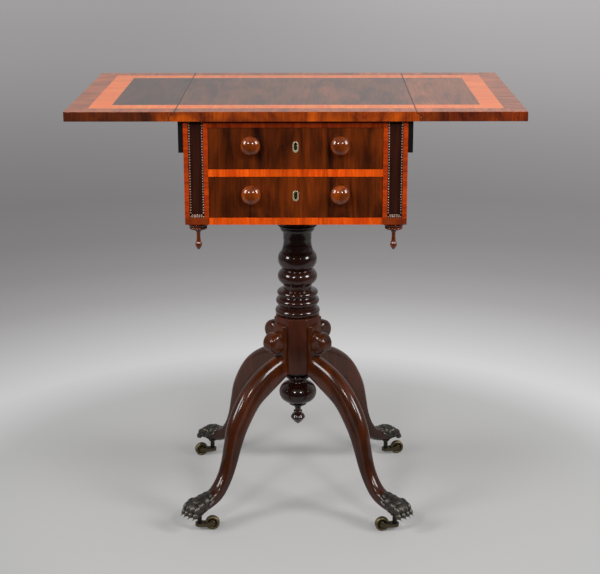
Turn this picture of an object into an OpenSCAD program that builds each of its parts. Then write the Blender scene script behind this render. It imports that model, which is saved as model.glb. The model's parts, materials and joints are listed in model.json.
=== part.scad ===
// Drop-leaf work table: two drawers in a small case on a turned column and four
// curved legs, with rule-jointed leaves, fly brackets and brass paw casters.
// Z is up, the drawers open towards -Y, and the floor is at z = 0.

/* [Top] */
// Height of the table surface
top_h = 740; // [700:1:780]
// Depth of the top, front to back
top_d = 440; // [400:1:500]
// Thickness of the top boards
top_t = 15.5; // [13:0.5:18]
// Width of the fixed middle board between the two joint lines
centre_w = 380; // [340:1:420]
// Reach of each drop leaf beyond its joint line
leaf_w = 175; // [140:1:220]
// Upright lip above the rounded part of a rule joint
rule_lip = 3; // [2:0.5:4]
// Running gap between leaf and middle board
rule_gap = 0.4; // [0.3:0.1:0.8]

/* [Rule hinges] */
// Distance of a hinge from the middle of the top
hinge_y = 140; // [100:1:170]
// Length of a hinge along its pin
hinge_len = 32; // [26:1:40]
// Thickness of the hinge plates
hinge_t = 2; // [1.5:0.1:2.5]
// Radius of a hinge pin
hinge_pin_r = 1.5; // [1.2:0.1:1.8]
// Radius of the hinge knuckles, also the pin's height above the underside
hinge_knuckle_r = 3; // [2.6:0.1:3.5]
// Reach of the plate on the middle board
hinge_short = 30; // [24:1:34]
// Reach of the plate on the leaf
hinge_long = 45; // [38:1:60]

/* [Case] */
// Width of the case
case_w = 356; // [330:1:368]
// How far the top stands in front of and behind the case
case_inset = 7; // [4:1:20]
// Height of the case below the top
case_h = 168.5; // [150:0.5:200]
// Width and depth of a corner post
post_w = 39; // [32:1:44]
// Thickness of the side and back boards
board_t = 13; // [10:1:18]
// Height of the rail over the upper drawer
top_rail_h = 11; // [9:0.5:15]
// Height of the rail between the drawers
mid_rail_h = 12; // [9:0.5:15]
// Height of the rail below the lower drawer
low_rail_h = 11.5; // [9:0.5:15]
// Thickness of the board that closes the case below
base_t = 6; // [4:0.5:8]
// Width of a runner or kicker under or over a drawer side
runner_w = 40; // [34:1:48]

/* [Posts] */
// Width of the sunk panel in the face of a front post
sunk_w = 24; // [18:1:28]
// Depth of the sunk panel
sunk_deep = 3.5; // [2:0.5:5]
// Height of the block left below the sunk panel
plinth_h = 11; // [8:0.5:16]
// Width of the notched moulding round the sunk panel
bead_w = 3; // [2:0.5:4]
// Distance from one notch to the next
notch_pitch = 4.3; // [3.5:0.1:6]
// Radius of a notch
notch_r = 1.2; // [0.8:0.1:1.6]

/* [Drawers] */
// Thickness of a drawer front
front_t = 18; // [14:1:22]
// Thickness of drawer sides and backs
drawer_side_t = 8; // [6:1:11]
// Thickness of drawer bottoms
drawer_floor_t = 5; // [4:0.5:7]
// Gap round a drawer front and beside a drawer side
drawer_gap = 0.6; // [0.3:0.1:1.2]
// Gap between a drawer side and the kicker over it
drawer_drop = 3; // [2:0.5:6]
// Distance of each knob from the middle of its drawer
knob_x = 71; // [50:1:100]
// Height of knobs and keyhole above the middle of a drawer front
fitting_up = 6.5; // [0:0.5:10]
// Radius of a knob
knob_r = 15.5; // [12:0.5:18]
// Reach of a knob in front of its drawer
knob_reach = 24; // [20:1:28]
// Radius of the dowel that holds a knob
knob_dowel_r = 5; // [4:0.5:6]

/* [Locks] */
// Width of a lock case
lock_w = 50; // [40:1:60]
// Height of a lock case
lock_h = 42; // [38:1:48]
// Thickness of a lock case
lock_t = 7; // [5:0.5:9]
// Width of a lock bolt
bolt_w = 14; // [10:1:20]
// Thickness of a lock bolt
bolt_t = 3; // [2:0.5:4]
// Rise of a lock bolt
bolt_rise = 6; // [4:0.5:7]
// Length of a lock bolt
bolt_long = 18; // [14:1:22]
// Radius of the round part of a keyhole
key_r = 2.8; // [2:0.1:3.2]
// Length of the slot under the round part of a keyhole
key_slot = 8; // [6:0.5:10]
// Wall of the brass keyhole liner
liner_t = 2; // [1:0.1:2.4]

/* [Fly brackets] */
// Height of a fly bracket and its rail
fly_h = 51; // [44:1:60]
// Thickness of the rail that carries the brackets
fly_t = 8; // [7:0.1:8.2]
// Reach of a bracket from its pin
fly_reach = 86; // [70:1:94]
// Radius of the hollow end of a bracket
fly_cove = 27; // [20:1:30]
// Height of the upright end below the hollow
fly_toe = 20; // [14:1:22]
// Radius of a bracket's wire pin
fly_pin_r = 1.5; // [1:0.1:1.8]

/* [Pendants] */
// Radius of the cap of a pendant
pendant_r = 16.5; // [12:0.5:17]
// Length of a pendant
pendant_h = 46; // [40:1:60]

/* [Column] */
// Height of the underside of the octagonal block above the floor
block_z = 238; // [228:1:244]
// Height of the octagonal block
block_h = 102; // [96:1:110]
// Distance across the flats of the block
block_w = 78; // [74:1:84]
// Width of the square plate that joins column and case
cap_w = 150; // [120:1:170]
// Thickness of that plate
cap_t = 20; // [16:1:24]
// Radius of the column's tenon
tenon_r = 15; // [12:0.5:18]

/* [Legs] */
// Distance of a caster's swivel from the column's axis
foot_r = 240; // [225:1:255]
// Width of a leg at the column
leg_w = 30; // [26:1:32]
// Radius of the scroll over a leg
scroll_r = 18.5; // [16:0.5:20]
// Side of the square tongue that fits the brass paw
tongue_w = 16; // [13:1:18]

/* [Casters] */
// Radius of a wheel
wheel_r = 12.5; // [11:0.5:13]
// Width of a wheel
wheel_w = 10; // [8:0.5:11]
// Distance from the swivel to the wheel's axle
trail = 22.5; // [22:0.5:26]
// Radius of the swivel pintle
pintle_r = 4; // [3.5:0.1:4.5]
// Radius of a wheel's axle
axle_r = 1.8; // [1.5:0.1:2.2]

/* [Fits] */
// Radial clearance of pins and tenons in their holes
fit = 0.05; // [0.02:0.01:0.1]
// Clearance of a piece that sits in a recess, and of faces that swing past
seat = 0.3; // [0.2:0.05:0.5]

/* [Hidden] */
$fn = 48;
eps = 0.01;
far = 1000;

rosewood = "#5a3020";
orange_wood = "#c0511c";
dark_wood = "#3a1c12";
oak = "#a8794a";
black_wood = "#171412";
brass = "#8a7040";
iron = "#3b3835";

// Levels, from the floor up
under_top = top_h - top_t;
case_z = under_top - case_h;
pin_z = under_top + hinge_knuckle_r;
cap_z = case_z - cap_t;
post_y = top_d / 2 - case_inset;
joint_x = centre_w / 2;
side_x = case_w / 2;
inner_x = side_x - post_w;
inner_y = post_y - post_w;
rule_r = top_t - rule_lip - hinge_knuckle_r;
opening_h = (case_h - top_rail_h - mid_rail_h - low_rail_h) / 2;
lower_z = case_z + low_rail_h;
upper_z = lower_z + opening_h + mid_rail_h;
// The knobs stand in front of the top, so the whole table sits back by half of that
centre_y = (knob_reach - case_inset) / 2;

// Sets a piece back so that the table's outline is centred on the origin
module stand() translate([0, centre_y, 0]) children();
module left_right() { children(); mirror([1, 0, 0]) children(); }
module front_rear() { children(); mirror([0, 1, 0]) children(); }
// A 2D outline in X and Z, extruded along Y between y0 and y1
module along_y(y0, y1) translate([0, y1, 0]) rotate([90, 0, 0]) linear_extrude(y1 - y0) children();
// A box between two corners
module block(a, b) translate(a) cube(b - a);

// ---- Top, leaves and rule hinges ----
module rule_round(r) translate([joint_x, pin_z]) circle(r);

module centre_profile()
    union() {
        translate([-joint_x, under_top]) square([centre_w, top_t]);
        left_right() intersection() {
            rule_round(rule_r);
            translate([joint_x - 1, under_top]) square([rule_r + 2, top_t]);
        }
    }

module leaf_profile()
    difference() {
        translate([joint_x + rule_gap, under_top]) square([leaf_w - rule_gap, top_t]);
        rule_round(rule_r + rule_gap);
    }

// Room for one hinge in the underside: plates, and the knuckle on the pin's axis
module hinge_room(x0, x1, wide)
    front_rear() translate([0, hinge_y, 0]) {
        block([x0, -wide / 2, under_top - eps], [x1, wide / 2, under_top + hinge_t + eps]);
        block([joint_x - hinge_knuckle_r - seat, -wide / 2, under_top - eps],
              [joint_x + rule_r + eps, wide / 2, pin_z]);
        knuckle_bar(hinge_knuckle_r + seat, -wide / 2, wide / 2);
    }

module knuckle_bar(r, y0, y1)
    translate([joint_x, y1, pin_z]) rotate([90, 0, 0]) cylinder(r = r, h = y1 - y0);

module centre_top() stand() color(rosewood)
    difference() {
        along_y(-top_d / 2, top_d / 2) centre_profile();
        left_right() hinge_room(joint_x - hinge_short - seat, joint_x, hinge_len + 2 * seat);
    }

module leaf()
    difference() {
        along_y(-top_d / 2, top_d / 2) leaf_profile();
        front_rear() translate([0, hinge_y, 0])
            block([joint_x, -hinge_len / 2 - seat, under_top - eps],
                  [joint_x + hinge_long + seat, hinge_len / 2 + seat, under_top + hinge_t + eps]);
    }

module leaf_right() stand() color(rosewood) leaf();
module leaf_left() stand() color(rosewood) mirror([1, 0, 0]) leaf();

knuckle = hinge_len / 3;
module bored_knuckle(r)
    difference() {
        children();
        knuckle_bar(r, -hinge_len, hinge_len);
    }

// Plate under the middle board, with a knuckle at each end
module hinge_plate()
    bored_knuckle(hinge_pin_r) difference() {
        union() {
            block([joint_x - hinge_short, -hinge_len / 2, under_top],
                  [joint_x, hinge_len / 2, under_top + hinge_t]);
            knuckle_bar(hinge_knuckle_r, -hinge_len / 2, hinge_len / 2);
        }
        block([joint_x - hinge_knuckle_r - seat, -knuckle / 2, under_top - 1],
              [joint_x + hinge_knuckle_r + 1, knuckle / 2, pin_z + hinge_knuckle_r + 1]);
    }

// Plate under the leaf, with one knuckle in the middle
module hinge_flap()
    bored_knuckle(hinge_pin_r + fit) union() {
        block([joint_x + hinge_knuckle_r + seat, -hinge_len / 2, under_top],
              [joint_x + hinge_long, hinge_len / 2, under_top + hinge_t]);
        block([joint_x, -knuckle / 2 + seat, under_top],
              [joint_x + hinge_knuckle_r + 1, knuckle / 2 - seat, under_top + hinge_t]);
        knuckle_bar(hinge_knuckle_r, -knuckle / 2 + seat, knuckle / 2 - seat);
    }

module hinge_plates() stand() color(iron) left_right() front_rear() translate([0, hinge_y, 0]) hinge_plate();
module hinge_pins() stand() color(iron) left_right() front_rear() translate([0, hinge_y, 0])
    knuckle_bar(hinge_pin_r, -hinge_len / 2, hinge_len / 2);
module hinge_flaps_right() stand() color(iron) front_rear() translate([0, hinge_y, 0]) hinge_flap();
module hinge_flaps_left() stand() color(iron)
    mirror([1, 0, 0]) front_rear() translate([0, hinge_y, 0]) hinge_flap();

// ---- Case ----
module case_side() block([side_x - board_t, -inner_y, case_z], [side_x, inner_y, under_top]);
module side_right() stand() color(rosewood) case_side();
module side_left() stand() color(rosewood) mirror([1, 0, 0]) case_side();
module case_back() stand() color(rosewood)
    block([-inner_x, post_y - board_t, case_z], [inner_x, post_y, under_top]);

module plain_post() block([inner_x, -post_y, case_z], [side_x, -inner_y, under_top]);
post_x = inner_x + post_w / 2;
module front_post()
    difference() {
        plain_post();
        block([post_x - sunk_w / 2, -post_y - 1, case_z + plinth_h],
              [post_x + sunk_w / 2, -post_y + sunk_deep, under_top + 1]);
    }
module post_front_right() stand() color(orange_wood) front_post();
module post_front_left() stand() color(orange_wood) mirror([1, 0, 0]) front_post();
module rear_posts() stand() color(orange_wood) left_right() mirror([0, 1, 0]) plain_post();

// A strip with a row of round notches along one edge, from x = 0, rising in Y
module notched_strip(long, wide)
    difference() {
        square([wide, long]);
        for (i = [0 : floor(long / notch_pitch) - 1])
            translate([wide, (i + 0.5) * notch_pitch]) circle(notch_r, $fn = 24);
    }
bead_deep = sunk_deep - 1;
// Two upright strips and two level ones, laid in the sunk panel of a front post
module post_moulding()
    translate([0, -post_y + sunk_deep, 0]) rotate([90, 0, 0]) linear_extrude(bead_deep) {
        for (s = [-1, 1])
            translate([post_x - s * sunk_w / 2, case_z + plinth_h + 2 * bead_w])
                scale([s, 1]) notched_strip(case_h - plinth_h - 2 * bead_w, bead_w);
        translate([post_x - sunk_w / 2, case_z + plinth_h]) square([sunk_w, bead_w]);
        translate([post_x - sunk_w / 2 + bead_w, case_z + plinth_h + bead_w])
            square([sunk_w - 2 * bead_w, bead_w / 2]);
    }
module post_mouldings() stand() color(dark_wood) left_right() post_moulding();

module rail(z0, z1) block([-inner_x, -post_y, z0], [inner_x, -inner_y, z1]);
// Slot in the underside of a rail for the bolt of the lock below it
lock_y = -post_y + front_t - lock_t / 2;
module bolt_slot(z)
    block([-bolt_w / 2 - 1, lock_y - bolt_t / 2 - 1, z - 1],
          [bolt_w / 2 + 1, lock_y + bolt_t / 2 + 1, z + bolt_rise + 1]);
module top_rail() stand() color(orange_wood)
    difference() { rail(upper_z + opening_h, under_top); bolt_slot(upper_z + opening_h); }
module middle_rail() stand() color(orange_wood)
    difference() { rail(lower_z + opening_h, upper_z); bolt_slot(lower_z + opening_h); }
module bottom_rail() stand() color(orange_wood) rail(case_z, lower_z);

module case_bottom() stand() color(oak) {
    block([-side_x + board_t, -inner_y, case_z], [side_x - board_t, inner_y, case_z + base_t]);
    block([-inner_x, inner_y - eps, case_z], [inner_x, post_y - board_t, case_z + base_t]);
}

// Level bearer that a drawer side slides on, with the guide beside it
module runner(z0, z1)
    union() {
        block([side_x - board_t - runner_w, -inner_y, z0], [side_x - board_t, inner_y, z1]);
        block([inner_x, -inner_y, z1 - eps], [side_x - board_t, inner_y, z1 + runner_w / 4]);
    }
module drawer_runners() stand() color(oak) left_right() {
    runner(case_z + base_t, lower_z);
    runner(lower_z + opening_h, upper_z);
    block([side_x - board_t - runner_w, -inner_y, upper_z + opening_h],
          [side_x - board_t, inner_y, under_top]);
}

// ---- Pendants under the posts ----
pendant_neck = 3.1;
module pendant()
    rotate_extrude() difference() {
        union() {
            turned_bead(pendant_r, -3, 3);
            turned_core(pendant_r - 3, -4, 0);
            turned_bead(pendant_r - 2, -8.5, 2.8);
            turned_core(pendant_r - 4.5, -11.3, 0);
            difference() {
                turned_core(pendant_r - 7, -21, -11);
                translate([pendant_neck + 9.5, -21]) circle(9.5, $fn = 96);
            }
            turned_core(pendant_neck, 12 - pendant_h, -20);
            translate([0, 10 - pendant_h]) circle(5);
            polygon([[0, -pendant_h], [2.2, 1.5 - pendant_h], [4.4, 7.6 - pendant_h], [0, 10 - pendant_h]]);
            polygon([[0, 10 - pendant_h], [4.4, 12.4 - pendant_h], [pendant_neck, 18 - pendant_h],
                     [0, 18 - pendant_h]]);
        }
        translate([-far, -far / 2]) square([far, far]);
    }
module pendants() stand() color(dark_wood) left_right() front_rear()
    translate([post_x, post_y - post_w / 2, case_z]) pendant();

// ---- Fly brackets ----
fly_top = under_top - seat;
fly_z = under_top - fly_h;
fly_x = side_x + fly_t / 2;
fly_y = inner_y + fly_t;
fly_knuckle_r = fly_t / 2 - seat;
fly_neck = fly_t / 2 + seat;
fly_step = (fly_top - fly_z) / 5;

// Upright bar on the pin's axis, over the knuckle numbered i from below
module fly_level(i, r, gap)
    translate([fly_x, fly_y, fly_z + i * fly_step + gap]) cylinder(r = r, h = fly_step - 2 * gap);
module fly_bore(r) translate([fly_x, fly_y, fly_z - 1]) cylinder(r = r, h = fly_h + 2);

// Rail fixed to the case side, with the fixed knuckles for both brackets
module fly_rail()
    difference() {
        union() {
            block([side_x, -fly_y + fly_neck + fly_reach, fly_z],
                  [side_x + fly_t, fly_y - fly_neck - fly_reach, under_top]);
            front_rear() {
                block([side_x, fly_y + fly_neck, fly_z], [side_x + fly_t, post_y - seat, under_top]);
                for (i = [0, 2, 4]) {
                    fly_level(i, fly_knuckle_r, 0);
                    block([side_x + 0.1, fly_y, fly_z + i * fly_step],
                          [side_x + fly_t - 0.1, fly_y + fly_neck + eps, fly_z + (i + 1) * fly_step]);
                }
            }
        }
        front_rear() fly_bore(fly_pin_r);
    }
module fly_rails() stand() color(black_wood) left_right() fly_rail();

// Side view of a bracket: X runs away from the pin, Y up from its lower edge
module bracket_profile()
    difference() {
        translate([fly_neck, 0]) square([fly_reach - fly_neck, fly_top - fly_z]);
        translate([fly_reach - fly_cove - 3, -1]) square([fly_cove + 4, fly_toe + 1]);
        translate([fly_reach - 3, fly_toe]) intersection() {
            circle(fly_cove);
            translate([-fly_cove, -1]) square([fly_cove + 4, fly_cove + 1]);
        }
    }

// The bracket lies folded along the case side, its free end towards the middle
module bracket()
    difference() {
        union() {
            translate([fly_x, fly_y, fly_z]) rotate([0, 0, -90]) rotate([90, 0, 0])
                translate([0, 0, -fly_t / 2 + seat]) linear_extrude(fly_t - 2 * seat) bracket_profile();
            for (i = [1, 3]) {
                fly_level(i, fly_knuckle_r, seat);
                block([side_x + seat, fly_y - fly_neck - eps, fly_z + i * fly_step + seat],
                      [side_x + fly_t - seat, fly_y, fly_z + (i + 1) * fly_step - seat]);
            }
        }
        fly_bore(fly_pin_r + fit);
    }
module bracket_rear_right() stand() color(black_wood) bracket();
module bracket_rear_left() stand() color(black_wood) mirror([1, 0, 0]) bracket();
module bracket_front_right() stand() color(black_wood) mirror([0, 1, 0]) bracket();
module bracket_front_left() stand() color(black_wood) mirror([1, 0, 0]) mirror([0, 1, 0]) bracket();
module bracket_pins() stand() color(iron) left_right() front_rear()
    translate([fly_x, fly_y, fly_z]) cylinder(r = fly_pin_r, h = fly_top - fly_z);

// ---- Drawers ----
front_w = 2 * inner_x - 2 * drawer_gap;
fitting_z = opening_h / 2 + fitting_up;
side_top = opening_h - drawer_drop;
box_back = post_y - board_t - 2;
box_front = -post_y + front_t;
module keyhole()
    union() {
        circle(key_r, $fn = 32);
        translate([-key_r * 0.6, -key_slot]) square([key_r * 1.2, key_slot]);
        translate([0, -key_slot]) circle(key_r * 0.6, $fn = 32);
    }
// Upright oval outline of the liner round the keyhole
module keyhole_plate()
    union() {
        circle(key_r + liner_t, $fn = 32);
        translate([-key_r - liner_t, -key_slot]) square([2 * (key_r + liner_t), key_slot]);
        translate([0, -key_slot]) circle(key_r + liner_t, $fn = 32);
    }

module drawer_front(z)
    difference() {
        block([-front_w / 2, -post_y, z + drawer_gap], [front_w / 2, box_front, z + opening_h - drawer_gap]);
        along_y(-post_y - 1, box_front + 1) translate([0, z + fitting_z]) keyhole_plate();
        for (s = [-1, 1])
            translate([s * knob_x, box_front + 1, z + fitting_z]) rotate([90, 0, 0])
                cylinder(r = knob_dowel_r + fit, h = front_t + 2);
        block([-lock_w / 2 - seat, box_front - lock_t, z + opening_h - drawer_gap - lock_h - seat],
              [lock_w / 2 + seat, box_front + 1, z + opening_h]);
    }

// Two sides and a back, dovetailed round a grooved bottom
module drawer_sides(z)
    difference() {
        union() {
            left_right() block([front_w / 2 - drawer_side_t, box_front, z + eps],
                               [front_w / 2, box_back, z + side_top]);
            block([-front_w / 2 + drawer_side_t, box_back - drawer_side_t, z + 3 + drawer_floor_t + 0.2],
                  [front_w / 2 - drawer_side_t, box_back, z + side_top - 4]);
        }
        block([-front_w / 2 + drawer_side_t / 2, box_front - 1, z + 3],
              [front_w / 2 - drawer_side_t / 2, box_back + 1, z + 3 + drawer_floor_t + 0.2]);
    }
module drawer_bottom(z)
    block([-front_w / 2 + drawer_side_t / 2 + 0.1, box_front, z + 3.1],
          [front_w / 2 - drawer_side_t / 2 - 0.1, box_back, z + 3.1 + drawer_floor_t]);

// Turned knob along +Z: dowel, ring, waist and a ball with a domed face
knob_edge = 8.2;
knob_dome = 18.5;
module knob_profile()
    intersection() {
        union() {
            translate([0, -front_t]) square([knob_dowel_r, front_t + 1]);
            square([9.5, 2.5]);
            square([6.5, knob_reach - 8]);
            translate([0, 5]) square([11, 3]);
            translate([11, 6.5]) circle(1.5);
            intersection() {
                union() {
                    translate([0, knob_reach - 2 * knob_edge]) square([knob_r - knob_edge, 2 * knob_edge]);
                    translate([knob_r - knob_edge, knob_reach - knob_edge - 1]) circle(knob_edge);
                }
                translate([0, knob_reach - knob_dome]) circle(knob_dome, $fn = 96);
            }
        }
        translate([0, -far / 2]) square([far, far]);
    }
module knobs(z)
    for (s = [-1, 1])
        translate([s * knob_x, -post_y, z + fitting_z]) rotate([90, 0, 0]) rotate_extrude() knob_profile();

module escutcheon(z)
    along_y(-post_y, -post_y + front_t - lock_t) translate([0, z + fitting_z])
        difference() { keyhole_plate(); keyhole(); }

// Lock let into the back of the drawer front, with a way up through it for the bolt
module lock_case(z)
    difference() {
        block([-lock_w / 2, box_front - lock_t, z + opening_h - drawer_gap - lock_h],
              [lock_w / 2, box_front, z + opening_h - drawer_gap]);
        block([-bolt_w / 2 - fit, lock_y - bolt_t / 2 - fit, z + opening_h - drawer_gap - bolt_long - seat],
              [bolt_w / 2 + fit, lock_y + bolt_t / 2 + fit, z + opening_h]);
        along_y(box_front - lock_t - 1, lock_y) translate([0, z + fitting_z]) keyhole();
    }
module lock_bolt(z)
    block([-bolt_w / 2, lock_y - bolt_t / 2, z + opening_h - drawer_gap - bolt_long],
          [bolt_w / 2, lock_y + bolt_t / 2, z + opening_h - drawer_gap - eps]);

module upper_drawer_front() stand() color(rosewood) drawer_front(upper_z);
module upper_drawer_sides() stand() color(oak) drawer_sides(upper_z);
module upper_drawer_bottom() stand() color(oak) drawer_bottom(upper_z);
module upper_knobs() stand() color(dark_wood) knobs(upper_z);
module upper_escutcheon() stand() color(brass) escutcheon(upper_z);
module upper_lock() stand() color(brass) lock_case(upper_z);
module upper_bolt() stand() color(iron) lock_bolt(upper_z);
module lower_drawer_front() stand() color(rosewood) drawer_front(lower_z);
module lower_drawer_sides() stand() color(oak) drawer_sides(lower_z);
module lower_drawer_bottom() stand() color(oak) drawer_bottom(lower_z);
module lower_knobs() stand() color(dark_wood) knobs(lower_z);
module lower_escutcheon() stand() color(brass) escutcheon(lower_z);
module lower_lock() stand() color(brass) lock_case(lower_z);
module lower_bolt() stand() color(iron) lock_bolt(lower_z);

// ---- Column ----
// One bead of a turning: a rounded ring whose outer edge is at radius r and height z
module turned_bead(r, z, b) translate([r - b, z]) circle(b);
// A plain cylindrical length of a turning
module turned_core(r, z0, z1) translate([0, z0]) square([r, z1 - z0]);

block_top = block_z + block_h;
// Rings of the turning: radius, height above the block, half thickness
RINGS = [[39.7, 7.4, 6], [38.6, 25.9, 6], [36.5, 41, 4.8], [35.2, 71, 12.5], [34.6, 101, 14.5]];
// Plain lengths between the rings: radius, lower and upper end above the block
CORES = [[34.5, -eps, 20], [32.3, 10, 46], [25.4, 45, 118]];
// Hollow neck between the topmost ring and the collar, as long as the height leaves it
rings_h = 117;
neck_z = cap_z - 39;
neck_r = 24.2;
neck_hollow = 4.2;
neck_half = (neck_z - block_top - rings_h) / 2;
neck_arc = (neck_half * neck_half + neck_hollow * neck_hollow) / (2 * neck_hollow);
collar_r = 28.4;
flare_r = 30;
flare_top = 44;
module column_profile()
    intersection() {
        union() {
            for (ring = RINGS) turned_bead(ring[0], block_top + ring[1], ring[2]);
            for (core = CORES) turned_core(core[0], block_top + core[1], block_top + core[2]);
            difference() {
                turned_core(neck_r + neck_hollow, block_top + rings_h - 7, neck_z);
                translate([neck_r + neck_arc, neck_z - neck_half]) circle(neck_arc, $fn = 144);
            }
            turned_core(collar_r, neck_z - 1, neck_z + 11);
            turned_bead(collar_r + 4.3, neck_z + 7, 3.6);
            difference() {
                turned_core(flare_top, neck_z + 10, cap_z);
                translate([collar_r - 2 + flare_r, neck_z + 10]) circle(flare_r, $fn = 96);
            }
            turned_core(tenon_r, cap_z - 1, case_z - 4);
        }
        translate([0, block_top - 1]) square([far, far]);
    }
module column() stand() color(dark_wood) union() {
    rotate_extrude() column_profile();
    translate([0, 0, block_z]) rotate([0, 0, 22.5])
        cylinder(r = block_w / 2 / cos(22.5), h = block_h, $fn = 8);
}

module column_cap() stand() color(dark_wood)
    difference() {
        block([-cap_w / 2, -cap_w / 2, cap_z], [cap_w / 2, cap_w / 2, case_z]);
        translate([0, 0, cap_z - 1]) cylinder(r = tenon_r + fit, h = cap_t - 2);
    }

module drop_finial() stand() color(dark_wood) translate([0, 0, block_z]) rotate_extrude()
    difference() {
        union() {
            polygon([[0, -109], [4, -106.5], [11.4, -98], [12.3, -94], [9, -88.5], [5.6, -85.5], [5.6, -80],
                     [5.3, -78], [5.3, -72], [14, -66], [14, 0], [0, 0]]);
            turned_bead(8, -83.2, 2);
            turned_bead(24, -4, 4);
            turned_core(20, -8, 0);
            turned_bead(22, -14.5, 4);
            turned_core(18, -24, -6);
            turned_bead(34, -46, 19.5);
            turned_bead(16, -67, 2.5);
        }
        translate([-far, -far / 2]) square([far, far]);
    }

// ---- Legs ----
// Distance from the column at which the wood of a leg ends and its brass paw begins
paw_back = foot_r - 14;
// Stations along a leg: distance from the column, height, thickness, width
LEG = [
    [block_w / 2, 253, 42, leg_w],
    [80, 234, 50, leg_w],
    [118, 208, 46, leg_w - 1],
    [147, 167, 41, leg_w - 3],
    [160, 133, 33, leg_w - 5],
    [169, 104, 28, leg_w - 6],
    [181, 78, 25, leg_w - 6],
    [198, 57, 25, leg_w - 5],
    [foot_r - 24, 48, 26, leg_w - 4],
    [paw_back, 45.5, 26, leg_w - 3]
];
PAW = [
    [paw_back, 45.5, 31, leg_w + 1],
    [foot_r - 8, 46, 34, leg_w + 4],
    [foot_r + 2, 45.5, 33, leg_w + 7],
    [foot_r + 12, 43.5, 28, leg_w + 8],
    [foot_r + 20, 41, 22, leg_w + 4]
];
// Smooth curve through the stations: value at station i plus t
function spline(a, b, c, d, t) =
    0.5 * (2 * b + (c - a) * t + (2 * a - 5 * b + 4 * c - d) * t * t + (3 * b - a - 3 * c + d) * t * t * t);
function station(s, u) =
    let (n = len(s) - 1, i = min(floor(u), n - 1), t = u - i)
    spline(s[max(i - 1, 0)], s[i], s[i + 1], s[min(i + 2, n)], t);
// Slope of the curve, level at both ends
function slope(s, u) =
    let (n = len(s) - 1, d = station(s, min(u + 0.02, n)) - station(s, max(u - 0.02, 0)))
    (u <= 0 || u >= n) ? 0 : atan2(d[1], d[0]);
// A rounded square of unit half width
function squircle(a, e) = [sign(cos(a)) * pow(abs(cos(a)), e), sign(sin(a)) * pow(abs(sin(a)), e)];
function ring(s, u, sides, e) =
    let (p = station(s, u), w = slope(s, u))
    [for (k = [0 : sides - 1])
        let (q = squircle((k + 0.5) * 360 / sides, e))
        [p[0] - q[1] * sin(w) * p[2] / 2, q[0] * p[3] / 2, p[1] + q[1] * cos(w) * p[2] / 2]];

// A solid through rounded sections at the stations of a curve
module loft(s, steps, sides, e) {
    n = (len(s) - 1) * steps;
    points = [for (j = [0 : n]) each ring(s, j / steps, sides, e)];
    walls = [for (j = [0 : n - 1], k = [0 : sides - 1])
        let (a = j * sides + k, b = j * sides + (k + 1) % sides)
        each [[a, a + sides, b + sides], [a, b + sides, b]]];
    ends = [[for (k = [0 : sides - 1]) k], [for (k = [sides - 1 : -1 : 0]) n * sides + k]];
    polyhedron(points, concat(walls, ends));
}

tongue_l = 12;
tongue_z = 48;
scroll_x = block_w / 2 + 18.5;
scroll_z = block_top - 41.5;
scroll_edge = 9;
head_top = block_top - 11;
// Rolled scroll over the leg: a fat disc with rounded edges on a level axis
module scroll()
    translate([scroll_x, 0, scroll_z]) rotate([90, 0, 0]) rotate_extrude() intersection() {
        union() {
            square([2 * (scroll_r - scroll_edge), leg_w], center = true);
            for (s = [-1, 1])
                translate([scroll_r - scroll_edge, s * (leg_w / 2 - scroll_edge)]) circle(scroll_edge);
            square([2 * scroll_r, leg_w - 2 * scroll_edge], center = true);
        }
        translate([0, -far / 2]) square([far, far]);
    }
// Head of the leg: it stands against the block, carries the scroll and runs down into the leg
module leg_head()
    translate([0, (leg_w - 2) / 2, 0]) rotate([90, 0, 0]) linear_extrude(leg_w - 2)
        polygon([[block_w / 2, 242], [scroll_x - 6, 246], [scroll_x - 6, scroll_z - 12],
                 [scroll_x, scroll_z], [block_w / 2 + 8.5, scroll_z + 16],
                 [block_w / 2 + 8, head_top - 5], [block_w / 2 + 6.5, head_top - 1.5],
                 [block_w / 2 + 3.5, head_top], [block_w / 2, head_top]]);
module leg()
    union() {
        loft(LEG, 3, 16, 0.6);
        leg_head();
        scroll();
        block([paw_back - eps, -tongue_w / 2, tongue_z - tongue_w / 2],
              [paw_back + tongue_l, tongue_w / 2, tongue_z + tongue_w / 2]);
    }

// ---- Brass paws and casters ----
paw_under = 2 * wheel_r + 2;
boss_z = wheel_r;
boss_r = pintle_r + 3.5;
pintle_top = paw_under + 11;
toe_r = 5.6;
toe_pitch = 2 * toe_r - 0.8;
// A toe: its knuckle, its pad and a claw turned down from the pad
module toe(y, out)
    translate([foot_r + out, y, paw_under]) union() {
        translate([0, 0, 17.5]) sphere(toe_r + 0.8, $fn = 24);
        translate([8, 0, toe_r + 1]) sphere(toe_r, $fn = 24);
        translate([10, 0, toe_r + 2]) rotate([0, 125, 0])
            cylinder(r1 = toe_r / 2, r2 = 1, h = toe_r + 4, $fn = 24);
    }
module paw()
    difference() {
        union() {
            loft(PAW, 2, 16, 0.8);
            for (s = [-1, 1]) {
                toe(s * toe_pitch / 2, 14);
                toe(s * toe_pitch * 1.5, 10);
            }
            translate([foot_r, 0, paw_under]) cylinder(r = boss_r, h = pintle_top + 2 - paw_under);
        }
        block([paw_back - 1, -tongue_w / 2 - seat, tongue_z - tongue_w / 2 - seat],
              [paw_back + tongue_l + seat, tongue_w / 2 + seat, tongue_z + tongue_w / 2 + seat]);
        translate([foot_r, 0, paw_under - 1]) cylinder(r = pintle_r + fit, h = pintle_top - paw_under + 1);
    }

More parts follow.
